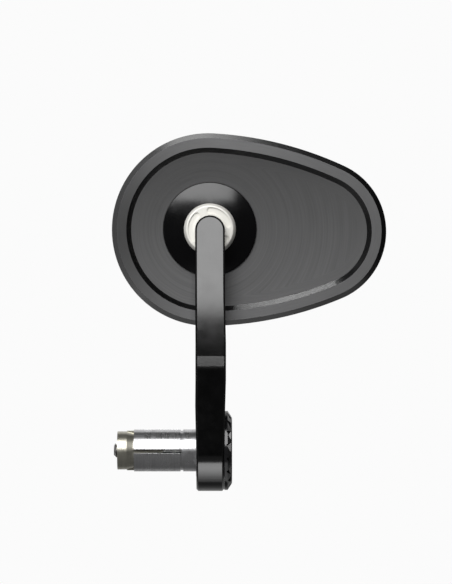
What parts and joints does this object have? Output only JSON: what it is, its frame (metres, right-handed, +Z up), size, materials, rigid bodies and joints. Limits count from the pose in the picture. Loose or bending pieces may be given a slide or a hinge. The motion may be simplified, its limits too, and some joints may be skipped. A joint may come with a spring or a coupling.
{
  "type": "motorcycle bar-end mirror",
  "caption": "Bar-end mirror: egg-shaped milled head with convex glass on a ball joint, flat leaning arm with a split clamp ring, notched end cap and an expander for the handlebar.",
  "frame": {"origin": "on the handlebar's axis, at the plane of the handlebar's end", "axes": "+X outboard along the handlebar, +Y the way the glass faces, towards the rider, +Z up along the arm"},
  "size_m": [0.1153, 0.0422, 0.1502],
  "materials": {
    "head_anodised": "milled and black-anodised, satin",
    "socket_anodised": "turned and black-anodised, smooth",
    "arm_anodised": "fine-blasted and black-anodised, satin",
    "cap_anodised": "turned and black-anodised, satin",
    "mirror_glass": null,
    "bonding_foam": "dark adhesive foam",
    "ball_steel": "bright satin",
    "steel_screws": "plain steel",
    "black_screw": "blackened",
    "spring_steel": "oiled spring steel",
    "liner_plastic": "self-lubricating plastic",
    "bare_aluminium": "turned, bare",
    "cone_steel": "zinc-plated",
    "seal_rubber": "smooth"
  },
  "bodies": {
    "bar_end": {"bar_end_hub": "bare_aluminium", "end_cap": "cap_anodised", "cap_o_ring": "seal_rubber", "expander_bolt": "steel_screws", "bolt_washer": "steel_screws", "expander_sleeve": "bare_aluminium", "expander_cone": "cone_steel"},
    "arm": {"arm": "arm_anodised", "clamp_screw": "black_screw", "joint_ball": "ball_steel", "ball_screw": "steel_screws", "ball_dowel": "steel_screws"},
    "liner": {"ball_liner": "liner_plastic"},
    "cup": {"pressure_cup": "liner_plastic"},
    "head": {"head_body": "head_anodised", "mirror_glass": "mirror_glass", "glass_bonding_pad": "bonding_foam", "socket_ring": "socket_anodised", "socket_screws": "steel_screws", "cup_spring": "spring_steel"}
  },
  "joints": [
    {"name": "arm_swing", "type": "hinge", "parent": "bar_end", "child": "arm", "pos_m": [0.0057, 0, 0], "axis": [1, 0, 0], "continuous": true},
    {"name": "head_tilt", "type": "hinge", "parent": "arm", "child": "liner", "pos_m": [0.0057, 0.00398, 0.09286], "axis": [1, 0, 0], "range_deg": [-7, 7]},
    {"name": "head_pan", "type": "hinge", "parent": "liner", "child": "cup", "pos_m": [0.0057, 0.00398, 0.09286], "axis": [0, 0, 1], "range_deg": [-7, 7]},
    {"name": "head_roll", "type": "hinge", "parent": "cup", "child": "head", "pos_m": [0.0057, 0.00398, 0.09286], "axis": [0, 1, 0], "continuous": true}
  ]
}
